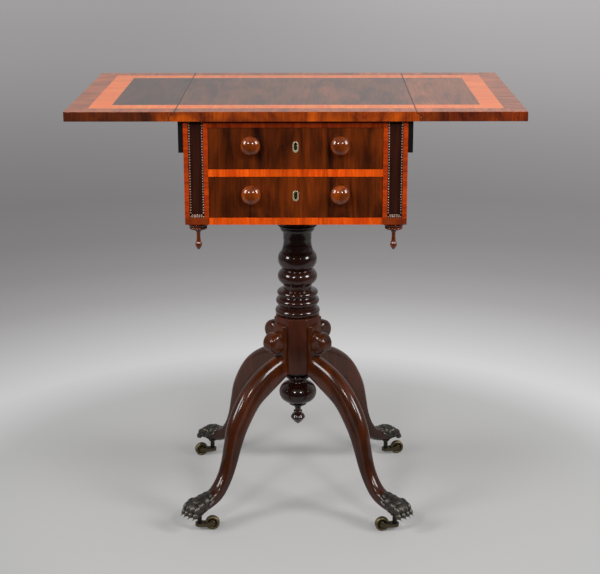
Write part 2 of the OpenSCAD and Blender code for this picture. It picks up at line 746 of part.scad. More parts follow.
// Swivelling horn: pintle, plate and two ears beside the wheel, which trails along +X
ear_t = 2.6;
ear_y = wheel_w / 2 + 0.6;
horn_z = wheel_r - 5.5;
module horn_ear()
    along_y(ear_y, ear_y + ear_t) union() {
        translate([trail, wheel_r]) circle(5);
        polygon([[4, horn_z], [trail, wheel_r - 5], [trail, wheel_r + 5], [trail - 3, wheel_r + 4],
                 [boss_r + 1.5, boss_z], [-3, boss_z], [-3, horn_z]]);
    }
module axle_bar(r, long)
    translate([trail, long / 2, wheel_r]) rotate([90, 0, 0]) cylinder(r = r, h = long);
module horn() {
    difference() {
        union() {
            translate([0, 0, horn_z]) cylinder(r = boss_r, h = boss_z - horn_z);
            block([-3, -ear_y - ear_t, horn_z], [7, ear_y + ear_t, boss_z]);
            front_rear() horn_ear();
            translate([0, 0, horn_z]) cylinder(r = pintle_r, h = pintle_top - 1 - horn_z);
        }
        axle_bar(axle_r, 40);
    }
    axle_bar(axle_r, 2 * (ear_y + ear_t));
}
module wheel()
    translate([trail, 0, wheel_r]) rotate([90, 0, 0]) rotate_extrude() difference() {
        union() {
            translate([axle_r + fit, -wheel_w / 2]) square([3.2, wheel_w]);
            translate([axle_r + fit, -wheel_w / 2 + 2.5]) square([wheel_r - axle_r - fit - 2, wheel_w - 5]);
            translate([wheel_r - 3.5, -wheel_w / 2 + 1]) square([1, wheel_w - 2]);
            for (s = [-1, 0, 1]) translate([wheel_r - 2.5, s * (wheel_w / 2 - 2.5)]) circle(2.5);
        }
        translate([-far, -far / 2]) square([far, far]);
    }

// ---- The four corners: turned about the column, then each caster about its pintle ----
FRONT_LEFT = -135;
FRONT_RIGHT = -45;
REAR_LEFT = 135;
REAR_RIGHT = 45;
module corner(a) stand() rotate([0, 0, a]) children();
// Casters trail to the side, as they came to rest
module caster(a, trail_to) stand()
    translate([foot_r * cos(a), foot_r * sin(a), 0]) rotate([0, 0, trail_to]) children();

module leg_front_left() color(dark_wood) corner(FRONT_LEFT) leg();
module leg_front_right() color(dark_wood) corner(FRONT_RIGHT) leg();
module leg_rear_left() color(dark_wood) corner(REAR_LEFT) leg();
module leg_rear_right() color(dark_wood) corner(REAR_RIGHT) leg();
module paw_front_left() color(brass) corner(FRONT_LEFT) paw();
module paw_front_right() color(brass) corner(FRONT_RIGHT) paw();
module paw_rear_left() color(brass) corner(REAR_LEFT) paw();
module paw_rear_right() color(brass) corner(REAR_RIGHT) paw();
module horn_front_left() color(brass) caster(FRONT_LEFT, 0) horn();
module horn_front_right() color(brass) caster(FRONT_RIGHT, 190) horn();
module horn_rear_left() color(brass) caster(REAR_LEFT, 200) horn();
module horn_rear_right() color(brass) caster(REAR_RIGHT, 10) horn();
module wheel_front_left() color(brass) caster(FRONT_LEFT, 0) wheel();
module wheel_front_right() color(brass) caster(FRONT_RIGHT, 190) wheel();
module wheel_rear_left() color(brass) caster(REAR_LEFT, 200) wheel();
module wheel_rear_right() color(brass) caster(REAR_RIGHT, 10) wheel();

centre_top();
leaf_left();
leaf_right();
hinge_plates();
hinge_pins();
hinge_flaps_left();
hinge_flaps_right();
side_left();
side_right();
case_back();
post_front_left();
post_front_right();
rear_posts();
top_rail();
middle_rail();
bottom_rail();
case_bottom();
drawer_runners();
post_mouldings();
pendants();
fly_rails();
bracket_front_left();
bracket_front_right();
bracket_rear_left();
bracket_rear_right();
bracket_pins();
upper_drawer_front();
upper_drawer_sides();
upper_drawer_bottom();
upper_knobs();
upper_escutcheon();
upper_lock();
upper_bolt();
lower_drawer_front();
lower_drawer_sides();
lower_drawer_bottom();
lower_knobs();
lower_escutcheon();
lower_lock();
lower_bolt();
column();
drop_finial();
column_cap();
leg_front_left();
leg_front_right();
leg_rear_left();
leg_rear_right();
paw_front_left();
paw_front_right();
paw_rear_left();
paw_rear_right();
horn_front_left();
horn_front_right();
horn_rear_left();
horn_rear_right();
wheel_front_left();
wheel_front_right();
wheel_rear_left();
wheel_rear_right();
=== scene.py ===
import bpy
import json
import math
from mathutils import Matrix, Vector


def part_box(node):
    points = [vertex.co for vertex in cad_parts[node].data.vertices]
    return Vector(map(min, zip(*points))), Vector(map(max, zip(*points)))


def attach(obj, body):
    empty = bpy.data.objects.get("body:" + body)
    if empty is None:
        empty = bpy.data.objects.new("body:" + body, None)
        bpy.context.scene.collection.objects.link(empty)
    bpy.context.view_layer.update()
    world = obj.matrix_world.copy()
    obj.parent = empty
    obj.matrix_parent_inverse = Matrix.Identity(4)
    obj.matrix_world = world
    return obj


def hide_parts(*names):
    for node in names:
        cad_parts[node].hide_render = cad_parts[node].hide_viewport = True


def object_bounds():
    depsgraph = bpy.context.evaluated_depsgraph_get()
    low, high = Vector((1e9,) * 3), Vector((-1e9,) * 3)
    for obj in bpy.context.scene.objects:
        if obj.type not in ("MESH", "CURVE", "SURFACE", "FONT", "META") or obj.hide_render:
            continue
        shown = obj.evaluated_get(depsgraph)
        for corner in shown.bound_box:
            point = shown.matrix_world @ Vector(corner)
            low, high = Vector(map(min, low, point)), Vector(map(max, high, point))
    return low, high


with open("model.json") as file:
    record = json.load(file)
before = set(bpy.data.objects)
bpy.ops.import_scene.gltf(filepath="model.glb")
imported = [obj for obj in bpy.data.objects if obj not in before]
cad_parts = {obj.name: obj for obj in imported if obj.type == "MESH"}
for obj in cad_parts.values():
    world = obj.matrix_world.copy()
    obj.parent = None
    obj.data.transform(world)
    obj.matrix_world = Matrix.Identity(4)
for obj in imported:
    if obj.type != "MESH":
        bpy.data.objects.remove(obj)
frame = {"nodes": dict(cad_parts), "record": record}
cadLow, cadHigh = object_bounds()
nodes = frame["nodes"]
mm = 0.001
bodyOf = {}
for bodyName, members in frame["record"]["behaviour"]["bodies"].items():
    for member in members:
        bodyOf[member] = bodyName
slotOf = {row["node"]: row["material_slot"] for row in frame["record"]["subparts"]}
columnLow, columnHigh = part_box("column")
axisPoint = Vector(((columnLow.x + columnHigh.x) / 2, (columnLow.y + columnHigh.y) / 2, 0))
# degrees about the column, from the X axis to each leg
cornerTurns = {"front_left": 225, "front_right": 315, "rear_left": 135, "rear_right": 45}
print("frame loaded, nodes:", len(nodes))


def linear(hexColour):
    # sRGB hex value to the linear colour that the shaders work in
    parts = [int(hexColour[i:i + 2], 16) / 255 for i in (1, 3, 5)]
    return [c / 12.92 if c <= 0.04045 else ((c + 0.055) / 1.055) ** 2.4 for c in parts] + [1]


def deselect():
    if bpy.context.object and bpy.context.object.mode != "OBJECT":
        bpy.ops.object.mode_set(mode="OBJECT")
    bpy.ops.object.select_all(action="DESELECT")


def activate(piece):
    deselect()
    piece.hide_set(False)
    piece.select_set(True)
    bpy.context.view_layer.objects.active = piece


def applyModifiers(piece):
    activate(piece)
    for modifier in list(piece.modifiers):
        bpy.ops.object.modifier_apply(modifier=modifier.name)


def settle(piece):
    # place, turn and scale go into the mesh, so the object sits at the origin
    activate(piece)
    bpy.ops.object.transform_apply(location=True, rotation=True, scale=True)


def cleanUp(piece):
    # doubles are merged, then all faces point outwards
    activate(piece)
    bpy.ops.object.mode_set(mode="EDIT")
    bpy.ops.mesh.select_all(action="SELECT")
    bpy.ops.mesh.remove_doubles(threshold=0.02 * mm)
    bpy.ops.mesh.normals_make_consistent(inside=False)
    bpy.ops.object.mode_set(mode="OBJECT")


def joinPieces(pieces):
    deselect()
    for piece in pieces:
        piece.select_set(True)
    bpy.context.view_layer.objects.active = pieces[0]
    bpy.ops.object.join()
    return bpy.context.object


def duplicate(piece):
    twin = piece.copy()
    twin.data = piece.data.copy()
    bpy.context.scene.collection.objects.link(twin)
    return twin


def rounded(piece, edge, segments, sharp=50):
    # corners that turn by more than sharp degrees are rounded over
    bevel = piece.modifiers.new("ease", "BEVEL")
    bevel.width = edge * mm
    bevel.segments = segments
    bevel.angle_limit = math.radians(sharp)
    applyModifiers(piece)
    return piece


def finishPiece(piece, name, node, material, smoothAngle=35, flatFaces=False):
    settle(piece)
    piece.name = name
    piece.data.name = name
    if material:
        piece.data.materials.clear()
        piece.data.materials.append(material)
    bpy.ops.object.shade_smooth_by_angle(angle=math.radians(smoothAngle))
    if flatFaces:  # large faces keep their own direction, and only the eased edges turn
        weighted = piece.modifiers.new("flat", "WEIGHTED_NORMAL")
        weighted.keep_sharp = True
        weighted.weight = 100
        applyModifiers(piece)
    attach(piece, bodyOf[node])
    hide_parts(node)


def softened(node, name, material, edge, segments=2):
    # a copy of the construction piece with its sharp corners eased, as planed and sanded work has
    deselect()
    piece = duplicate(nodes[node])
    piece.parent = None
    for key in list(piece.keys()):
        del piece[key]
    activate(piece)
    bpy.ops.object.mode_set(mode="EDIT")
    bpy.ops.mesh.select_all(action="SELECT")
    bpy.ops.mesh.remove_doubles(threshold=0.004 * mm)
    bpy.ops.mesh.dissolve_limited(angle_limit=math.radians(1))
    bpy.ops.object.mode_set(mode="OBJECT")
    rounded(piece, edge, segments)
    finishPiece(piece, name, node, material, flatFaces=True)


def startMaterial(name):
    material = bpy.data.materials.new(name)
    material.use_nodes = True
    tree = material.node_tree
    return material, tree, tree.nodes["Principled BSDF"]


def feed(tree, node, inputs):
    # plain values are set, and outputs of other nodes are linked
    for key, value in inputs.items():
        if isinstance(value, bpy.types.NodeSocket):
            tree.links.new(value, node.inputs[key])
        else:
            node.inputs[key].default_value = value


def add(tree, kind, inputs=None, stops=(), **settings):
    # one node with its settings and links, and the stops of a ramp; its outputs come back
    # by number: Map Range 0 value, 1 and 2 its range, 3 and 4 the new range; Mix 0 share, 6 and 7 colours
    node = tree.nodes.new("ShaderNode" + kind)
    for key, value in settings.items():
        setattr(node, key, value)
    feed(tree, node, inputs or {})
    for i, (place, colour) in enumerate(stops):
        elements = node.color_ramp.elements
        stop = elements[i] if i < 2 else elements.new(place)
        stop.position = place
        stop.color = linear(colour)
    return node.outputs


# settings that many nodes share: Map Range without corners, Mix that covers a colour, Mix that darkens it
smooth = {"interpolation_type": "SMOOTHSTEP"}
covering = {"data_type": "RGBA"}
shading = {"data_type": "RGBA", "blend_type": "MULTIPLY"}


def grainCoordinates(tree, along):
    # place in metres, turned so that the grain runs along local Z
    turns = {"x": (0, math.radians(-90), 0), "y": (math.radians(90), 0, 0), "z": (0, 0, 0)}
    place = add(tree, "TexCoord")["Object"]
    return add(tree, "Mapping", {"Vector": place, "Rotation": turns[along]})["Vector"]


def grain(tree, place, width, length, roughness, distortion, detail=5.0):
    # streaks of wood, width and length in millimetres
    stretched = add(tree, "Mapping", {
        "Vector": place, "Scale": (1000 / width, 1000 / width, 1000 / length)})["Vector"]
    return add(tree, "TexNoise", {
        "Vector": stretched, "Scale": 1.0, "Detail": detail, "Roughness": roughness,
        "Distortion": distortion})["Fac"]


def woodColour(tree, wood, along):
    # a broad figure with finer dark streaks over it
    place = grainCoordinates(tree, along)
    figure = grain(tree, place, wood["figureWidth"], wood["figureLength"], 0.55, 0.9)
    streaks = grain(tree, place, wood["streakWidth"], wood["streakLength"], 0.65, 0.5)
    tone = add(tree, "ValToRGB", {"Fac": figure}, [(0.34, wood["dark"]), (0.66, wood["light"])])["Color"]
    lines = add(tree, "ValToRGB", {"Fac": streaks}, [(0.38, "#ffffff"), (0.63, wood["streak"])])["Color"]
    colour = add(tree, "Mix", {0: wood["streakStrength"], 6: tone, 7: lines}, **shading)[2]
    if "pieces" in wood:
        # neighbouring pieces of veneer differ a little in tone: one step of brightness for each
        across, width, least, most = wood["pieces"]
        split = add(tree, "SeparateXYZ", {"Vector": add(tree, "TexCoord")["Object"]})
        cells = add(tree, "TexVoronoi", {"W": split[across], "Scale": 1000 / width, "Randomness": 0.8},
                    voronoi_dimensions="1D")
        chance = add(tree, "SeparateColor", {"Color": cells["Color"]})[0]
        level = add(tree, "MapRange", {0: chance, 3: least, 4: most})[0]
        colour = add(tree, "Mix", {0: 1.0, 6: colour, 7: level}, **shading)[2]
    return colour


# millimetres; real pores are about half as wide, and these are coarser so that they show
pore = {"width": 0.7, "length": 14, "depth": 0.03}
rimTurn = (0.45, 0.95)  # how far a turning faces away where its skin starts to fade, and where it has


def polish(tree, shader, gloss, along):
    # a clear skin over the wood, in which the pores still show as fine short dents
    feed(tree, shader, {
        "Roughness": gloss["roughness"], "Specular IOR Level": gloss["specular"],
        "Coat Weight": gloss["coat"], "Coat Roughness": gloss["coatRoughness"],
        "Coat IOR": gloss["coatIndex"]})
    if gloss["pores"]:
        pores = grain(tree, grainCoordinates(tree, along), pore["width"], pore["length"], 0.5, 0.2, 2.0)
        feed(tree, shader, {"Normal": add(tree, "Bump", {
            "Height": pores, "Distance": pore["depth"] * mm, "Strength": gloss["pores"]})["Normal"]})
    if "rim" in gloss:
        # small turnings mirror little towards their rims, where they turn away from the eye
        feed(tree, shader, {"Coat Weight": add(tree, "MapRange", {
            0: add(tree, "LayerWeight")["Facing"], 1: rimTurn[0], 2: rimTurn[1],
            3: gloss["coat"], 4: gloss["rim"]}, **smooth)[0]})


def polishedWood(name, wood, along, gloss):
    material, tree, shader = startMaterial(name)
    colour = woodColour(tree, wood, along)
    if "darkFoot" in wood:
        # darker towards the floor
        low, high, least = wood["darkFoot"]
        height = add(tree, "SeparateXYZ", {"Vector": add(tree, "TexCoord")["Object"]})["Z"]
        level = add(tree, "MapRange", {0: height, 1: low * mm, 2: high * mm, 3: least}, **smooth)[0]
        colour = add(tree, "Mix", {0: 1.0, 6: colour, 7: level}, **shading)[2]
    feed(tree, shader, {"Base Color": colour})
    polish(tree, shader, gloss, along)
    return material


# French polish rubbed down on flat work: soft reflections, with the pores just seen
frenchPolish = {
    "roughness": 0.4, "specular": 0.1, "coat": 0.6, "coatRoughness": 0.12, "coatIndex": 1.35, "pores": 0.25}
# thick French polish on turned work: narrow bright highlights on dark wood
highPolish = {
    "roughness": 0.4, "specular": 0.05, "coat": 1.0, "coatRoughness": 0.1, "coatIndex": 1.46, "pores": 0}
# the legs have lost some of it: the same highlights, weaker and softer
legPolish = dict(highPolish, coatRoughness=0.14, coatIndex=1.36)
# knobs and small turnings, rubbed by hands: one bright spot and dark rims
knobPolish = {
    "roughness": 0.4, "specular": 0.0, "coat": 1.0, "coatRoughness": 0.11, "coatIndex": 1.5, "pores": 0,
    "rim": 0.08}
# the top is worn by use: a broad pale sheen when seen aslant
tablePolish = {
    "roughness": 0.32, "specular": 0.35, "coat": 0.7, "coatRoughness": 0.2, "coatIndex": 1.5, "pores": 0.25}
# wax alone inside the drawers: nearly dull
waxedPolish = {
    "roughness": 0.55, "specular": 0.25, "coat": 0.0, "coatRoughness": 0.3, "coatIndex": 1.5, "pores": 0.4}

# widths and lengths in millimetres; pieces: axis, width of a piece, least and most brightness
# Brazilian rosewood: near-black streaks on warm brown, in upright leaves a few centimetres wide
rosewood = {
    "figureWidth": 30, "figureLength": 170, "dark": "#2c0e03", "light": "#7e3408",
    "streakWidth": 3.2, "streakLength": 80, "streak": "#5c463a", "streakStrength": 0.4,
    "pieces": ("X", 62, 0.6, 1.06),
}
rosewoodSide = dict(rosewood, pieces=("Y", 55, 0.75, 1.2))
# inside the posts, away from daylight: plain dark brown
darkRosewood = dict(rosewood, dark="#2a100a", light="#3e1c10", pieces=("X", 400, 0.95, 1.0))
# the border of the top, bleached by daylight to a pale reddish brown
borderRosewood = dict(
    rosewood, dark="#93441c", light="#cc6c36", figureWidth=18, figureLength=60, streak="#a08474")
# tulipwood: bright orange strips with redder bars where one short piece meets the next
tulipwood = {
    "figureWidth": 7, "figureLength": 60, "dark": "#cc4206", "light": "#ee5e0c",
    "streakWidth": 1.6, "streakLength": 40, "streak": "#c07a5a", "streakStrength": 0.35,
    "pieces": ("X", 11, 0.74, 1.06),
}
tulipwoodPost = dict(tulipwood, dark="#962c06", light="#ba430b", pieces=("Z", 14, 0.72, 1.08))  # redder
paleTulipwood = dict(tulipwood, dark="#fa6814", light="#ff9234", streak="#e09068")  # bleached, on the top
shadedTulipwood = dict(tulipwood, dark="#6e2004", light="#8e3206")  # painted shade: the rail under the top is darker, as the overhang of the top shades it
# mahogany stained dark, as turned and carved work is: a quiet brown with hardly any streaks
mahogany = {
    "figureWidth": 30, "figureLength": 120, "dark": "#220f03", "light": "#482306",
    "streakWidth": 3.4, "streakLength": 60, "streak": "#9c8a80", "streakStrength": 0.2,
}
# darkFoot: heights between which the wood gets darker, and the brightness left at the lower one
legMahogany = dict(mahogany, dark="#2a1003", light="#461c04", darkFoot=(60, 230, 0.6))
blockMahogany = dict(mahogany, dark="#2e130a", light="#462113")
redMahogany = dict(mahogany, dark="#5c1e08", light="#7e300c")  # unstained: plainly red
blackened = dict(mahogany, dark="#140604", light="#2e120a")  # nearly black under its polish
turnedRosewood = dict(mahogany, dark="#401804", light="#883a08", figureWidth=24)  # warm, round the knobs
darkTurning = dict(mahogany, dark="#3a1408", light="#6a2a10", figureWidth=12)  # brown, small in figure
rubbedAndGlintingRosewood = dict(mahogany, dark="#76584a", light="#b09484", figureWidth=8)  # pale: partly rubbed by dusting, partly painted highlight for the glints on the small teeth
# oak: dull yellow brown with long fine lines
oakWood = {
    "figureWidth": 12, "figureLength": 240, "dark": "#8a6238", "light": "#a87c48",
    "streakWidth": 1.8, "streakLength": 70, "streak": "#8a7460", "streakStrength": 0.45,
}
frontWood = polishedWood("rosewoodVeneerUpright", rosewood, "z", frenchPolish)
sideWood = polishedWood("rosewoodVeneerSides", rosewoodSide, "z", frenchPolish)
bandWood = polishedWood("tulipwoodCrossband", tulipwood, "z", frenchPolish)
# the top rail's crossband carries painted shade from the overhang of the top above it
topRailWood = polishedWood("shadedCrossband", shadedTulipwood, "z", frenchPolish)
rearPostWood = polishedWood("redMahogany", redMahogany, "z", frenchPolish)
legWood = polishedWood("stainedMahogany", legMahogany, "z", legPolish)
blockWood = polishedWood("plainMahogany", blockMahogany, "z", frenchPolish)
columnWood = polishedWood("blackenedMahogany", blackened, "z", highPolish)
capWood = polishedWood("blackenedMahoganyLevel", blackened, "x", frenchPolish)
knobWood = polishedWood("turnedRosewood", turnedRosewood, "z", knobPolish)
pendantWood = polishedWood("darkTurning", darkTurning, "z", knobPolish)
beadWood = polishedWood("rubbedAndGlintingRosewood", rubbedAndGlintingRosewood, "z", knobPolish)
stripWood = polishedWood("mouldedRosewood", darkRosewood, "z", frenchPolish)
plainOak = polishedWood("plainOak", oakWood, "y", waxedPolish)

frontPost = {
    "panelWidth": 24,  # of the sunk panel, in millimetres
    # how deep a spot counts as sunk, and how far the panel's tone runs past its sides and its foot
    "sunk": 0.5, "overlap": 0.2, "footMargin": 0.4,
    "frontward": -0.3,  # Y of the normal of a face that still counts as front
}


def postWood():
    # a front post is banded round a sunk panel of darker wood, so the finish changes with depth and place
    material, tree, shader = startMaterial("bandedPost")
    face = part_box("post_front_left")[0].y
    beadLow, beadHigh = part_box("post_mouldings")
    halfPanel = frontPost["panelWidth"] / 2
    split = add(tree, "SeparateXYZ", {"Vector": add(tree, "TexCoord")["Object"]})
    normal = add(tree, "SeparateXYZ", {"Vector": add(tree, "TexCoord")["Normal"]})
    deep = add(tree, "Math", {0: split["Y"], 1: face + frontPost["sunk"] * mm}, operation="GREATER_THAN")[0]
    spread = add(tree, "Math", {0: split["X"]}, operation="ABSOLUTE")[0]
    inside = add(tree, "Math", {
        0: spread, 1: beadHigh.x - halfPanel * mm, 2: (halfPanel + frontPost["overlap"]) * mm},
        operation="COMPARE")[0]
    overFoot = add(tree, "Math", {0: split["Z"], 1: beadLow.z - frontPost["footMargin"] * mm},
                   operation="GREATER_THAN")[0]
    atFoot = add(tree, "Math", {0: 1.0, 1: overFoot}, operation="SUBTRACT")[0]
    notFront = add(tree, "Math", {0: normal["Y"], 1: frontPost["frontward"]}, operation="GREATER_THAN")[0]
    plain = add(tree, "Math", {0: atFoot, 1: notFront}, operation="MAXIMUM")[0]
    sunk = add(tree, "Math", {0: deep, 1: inside}, operation="MULTIPLY")[0]
    panel = add(tree, "Math", {0: sunk, 1: overFoot}, operation="MULTIPLY")[0]
    colour = add(tree, "Mix", {0: plain, 6: woodColour(tree, tulipwoodPost, "x"),
                               7: woodColour(tree, redMahogany, "z")}, **covering)[2]
    colour = add(tree, "Mix", {0: panel, 6: colour, 7: woodColour(tree, darkRosewood, "z")}, **covering)[2]
    feed(tree, shader, {"Base Color": colour})
    polish(tree, shader, frenchPolish, "z")
    return material


frontPostWood = postWood()

tableTop = {
    "border": 34, "band": 34,  # widths in millimetres, from the rim inwards
    "pinX": 190, "pinDeep": 12.5, "curve": 9.7,  # place of the hinge pins, and radius of the rule joint
    "dirt": "#1a0c08", "steep": 0.6,  # part of the normal that decides which way a face looks
    # millimetres from a joint at which something starts to fade and has gone, and its strength
    "jointDirt": (0.6, 1.9, 0.75), "curveDirt": (0.3, 1.3, 0.8), "middleTone": (8, 48, 0.75),
}
middleEdge = ("#6a2002", "#c85402")


def tableTopWood(name, fieldTones, edgeTones):
    # rosewood field, a tulipwood band and a rosewood border laid round the open top, each with its
    # grain across the strip; the edges are banded with short upright pieces of differing tone
    material, tree, shader = startMaterial(name)

    def fading(distance, reach):
        # strong beside a line, and gone at the end of its reach
        start, end, strength = tableTop[reach]
        return add(tree, "MapRange", {
            0: distance, 1: start * mm, 2: end * mm, 3: strength, 4: 0.0}, **smooth)[0]
    low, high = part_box("centre_top")
    middle = (0, (low.y + high.y) / 2, 0)
    half = (cadHigh.x, (high.y - low.y) / 2, 0)
    offset = add(tree, "VectorMath", {0: add(tree, "TexCoord")["Object"], 1: middle}, operation="SUBTRACT")[0]
    spread = add(tree, "VectorMath", {0: offset}, operation="ABSOLUTE")[0]
    inset = add(tree, "SeparateXYZ", {
        "Vector": add(tree, "VectorMath", {0: half, 1: spread}, operation="SUBTRACT")[0]})
    least = add(tree, "Math", {0: inset["X"], 1: inset["Y"]}, operation="MINIMUM")[0]
    atEnds = add(tree, "Math", {0: inset["X"], 1: inset["Y"]}, operation="LESS_THAN")[0]
    inBorder = add(tree, "Math", {0: least, 1: tableTop["border"] * mm}, operation="LESS_THAN")[0]
    inBand = add(tree, "Math", {0: least, 1: (tableTop["border"] + tableTop["band"]) * mm},
                 operation="LESS_THAN")[0]
    fieldWood = dict(rosewood, dark=fieldTones[0], light=fieldTones[1], figureWidth=40, streakStrength=0.5,
                     pieces=("X", 90, 0.85, 1.15))
    ends = add(tree, "Mix", {
        0: inBorder, 6: woodColour(tree, dict(paleTulipwood, pieces=("Y", 30, 0.95, 1.08)), "x"),
        7: woodColour(tree, dict(borderRosewood, pieces=("Y", 60, 0.8, 1.15)), "x")}, **covering)[2]
    sides = add(tree, "Mix", {
        0: inBorder, 6: woodColour(tree, dict(paleTulipwood, pieces=("X", 30, 0.95, 1.08)), "y"),
        7: woodColour(tree, dict(borderRosewood, pieces=("X", 60, 0.8, 1.15)), "y")}, **covering)[2]
    laid = add(tree, "Mix", {0: atEnds, 6: sides, 7: ends}, **covering)[2]
    colour = add(tree, "Mix", {0: inBand, 6: woodColour(tree, fieldWood, "y"), 7: laid}, **covering)[2]
    # old wax and dirt darken the two joints
    pastJoint = add(tree, "Math", {
        0: add(tree, "SeparateXYZ", {"Vector": spread})["X"], 1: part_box("leaf_right")[0].x},
        operation="SUBTRACT")[0]
    fromJoint = add(tree, "Math", {0: pastJoint}, operation="ABSOLUTE")[0]
    colour = add(tree, "Mix", {
        0: fading(fromJoint, "jointDirt"), 6: colour, 7: linear(tableTop["dirt"])}, **covering)[2]
    # beside a joint the edge of a leaf has the tone of the middle board
    edgeWood = dict(rosewood, dark=edgeTones[0], light=edgeTones[1], figureWidth=46, figureLength=60,
                    streakStrength=0.45, pieces=("X", 51, 0.7, 1.15))
    likeMiddle = dict(edgeWood, dark=middleEdge[0], light=middleEdge[1])
    edge = add(tree, "Mix", {0: fading(fromJoint, "middleTone"), 6: woodColour(tree, edgeWood, "z"),
                             7: woodColour(tree, likeMiddle, "z")}, **covering)[2]
    # on the front and back edges the rule joint shows as a dark curve about the hinge pin
    pin = (tableTop["pinX"] * mm, 0, high.z - tableTop["pinDeep"] * mm)
    fromPin = add(tree, "VectorMath", {0: spread, 1: pin}, operation="SUBTRACT")[0]
    flat = add(tree, "VectorMath", {0: fromPin, 1: (1, 0, 1)}, operation="MULTIPLY")[0]
    reach = add(tree, "VectorMath", {0: flat}, operation="LENGTH")["Value"]
    pastCurve = add(tree, "Math", {0: reach, 1: tableTop["curve"] * mm}, operation="SUBTRACT")[0]
    fromCurve = add(tree, "Math", {0: pastCurve}, operation="ABSOLUTE")[0]
    outside = add(tree, "Math", {0: add(tree, "SeparateXYZ", {"Vector": fromPin})["X"], 1: 0.0},
                  operation="GREATER_THAN")[0]
    normal = add(tree, "SeparateXYZ", {"Vector": add(tree, "TexCoord")["Normal"]})
    alongY = add(tree, "Math", {0: normal["Y"]}, operation="ABSOLUTE")[0]
    frontOrBack = add(tree, "Math", {0: alongY, 1: tableTop["steep"]}, operation="GREATER_THAN")[0]
    atCurve = add(tree, "Math", {0: outside, 1: frontOrBack}, operation="MULTIPLY")[0]
    dirty = add(tree, "Math", {0: atCurve, 1: fading(fromCurve, "curveDirt")}, operation="MULTIPLY")[0]
    edge = add(tree, "Mix", {0: dirty, 6: edge, 7: linear(tableTop["dirt"])}, **covering)[2]
    upright = add(tree, "Math", {0: normal["Z"], 1: 0.0, 2: tableTop["steep"]}, operation="COMPARE")[0]
    colour = add(tree, "Mix", {0: upright, 6: colour, 7: edge}, **covering)[2]
    # the underside is bare mahogany, darkened by age
    under = add(tree, "Math", {0: normal["Z"], 1: -tableTop["steep"]}, operation="LESS_THAN")[0]
    colour = add(tree, "Mix", {0: under, 6: colour, 7: woodColour(tree, redMahogany, "y")}, **covering)[2]
    feed(tree, shader, {"Base Color": colour})
    polish(tree, shader, tablePolish, "y")
    return material


# tones of the field, then of the edge: the left leaf is darkest and the right one palest
topWoods = {
    "leaf_left": tableTopWood("crossbandedLeftLeaf", ("#3c1e14", "#6a3a26"), ("#300c04", "#5e2606")),
    "centre_top": tableTopWood("crossbandedTop", ("#4e2818", "#904e2e"), middleEdge),
    "leaf_right": tableTopWood("crossbandedRightLeaf", ("#6a3418", "#a45a2c"), ("#481202", "#8c3404")),
}


wear = {
    "proud": (0.46, 0.58),  # pointiness of a hollow and of an edge
    "byShape": 0.75, "bySpots": 0.35, "stops": (0.25, 0.8),
    "dent": 0.1, "dents": 0.35,  # depth in millimetres, and strength
    "hollow": "#0c0a08", "hollowRim": (0.85, 1.1),  # painted shade round a keyhole, and where its rim fades, in shares of its size
}


def wornMetal(name, metal, keyhole=None):
    # cast or drawn metal: darker in its hollows, rubbed lighter where it stands proud
    material, tree, shader = startMaterial(name)
    place = add(tree, "TexCoord")["Object"]
    cloud = add(tree, "TexNoise", {"Vector": place, "Scale": 1000 / metal["grit"], "Detail": 4.0})["Fac"]
    proud = add(tree, "MapRange", {
        0: add(tree, "NewGeometry")["Pointiness"], 1: wear["proud"][0], 2: wear["proud"][1]})[0]
    spots = add(tree, "Math", {0: cloud, 1: wear["bySpots"]}, operation="MULTIPLY")[0]
    rubbed = add(tree, "Math", {0: proud, 1: wear["byShape"], 2: spots}, operation="MULTIPLY_ADD")[0]
    stops = zip(wear["stops"], (metal["dark"], metal["worn"]))
    tone = add(tree, "ValToRGB", {"Fac": rubbed}, stops)["Color"]
    if keyhole:
        # painted shade: a dark patch round the hole stands in for the shade inside a wider keyhole
        low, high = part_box(keyhole)
        wide, tall = metal["hollow"]
        offset = add(tree, "VectorMath", {0: place, 1: (low + high) / 2}, operation="SUBTRACT")[0]
        share = add(tree, "VectorMath", {0: offset, 1: (1 / (wide * mm), 0, 1 / (tall * mm))},
                    operation="MULTIPLY")[0]
        away = add(tree, "VectorMath", {0: share}, operation="LENGTH")["Value"]
        start, end = wear["hollowRim"]
        hollow = add(tree, "MapRange", {0: away, 1: start, 2: end, 3: 1.0, 4: 0.0}, **smooth)[0]
        tone = add(tree, "Mix", {0: hollow, 6: tone, 7: linear(wear["hollow"])}, **covering)[2]
    feed(tree, shader, {
        "Base Color": tone, "Metallic": metal["metallic"], "Roughness": metal["roughness"],
        "Normal": add(tree, "Bump", {
            "Height": cloud, "Distance": wear["dent"] * mm, "Strength": wear["dents"]})["Normal"]})
    return material


# cast brass of the paws, patinated nearly black with a grey shine on the fur
pawMetal = wornMetal("patinatedCastBrass", {
    "dark": "#131110", "worn": "#6c665f", "metallic": 0.9, "roughness": 0.42, "grit": 3})
# caster brass that is no longer cleaned: dark olive, a little yellower on the wheels, which rub the floor
casterMetal = wornMetal("blackenedCasterBrass", {
    "dark": "#171411", "worn": "#544a38", "metallic": 0.9, "roughness": 0.42, "grit": 4})
wheelMetal = wornMetal("dullCasterBrass", {
    "dark": "#2c261c", "worn": "#8a7c5a", "metallic": 0.9, "roughness": 0.42, "grit": 4})
# keyhole liners, kept pale by rubbing
linerTones = {
    "dark": "#b09c70", "worn": "#efe2bc", "metallic": 0.85, "roughness": 0.38, "grit": 3,
    "hollow": (2.7, 5.8)}  # half the width and half the height of the painted shade round the keyhole, in millimetres
linerMetal = wornMetal("rubbedKeyholeBrass", linerTones)
# forged iron of the hinges: dull grey brown
ironMetal = wornMetal("oldIron", {
    "dark": "#2c2926", "worn": "#5f5a55", "metallic": 0.8, "roughness": 0.5, "grit": 4})


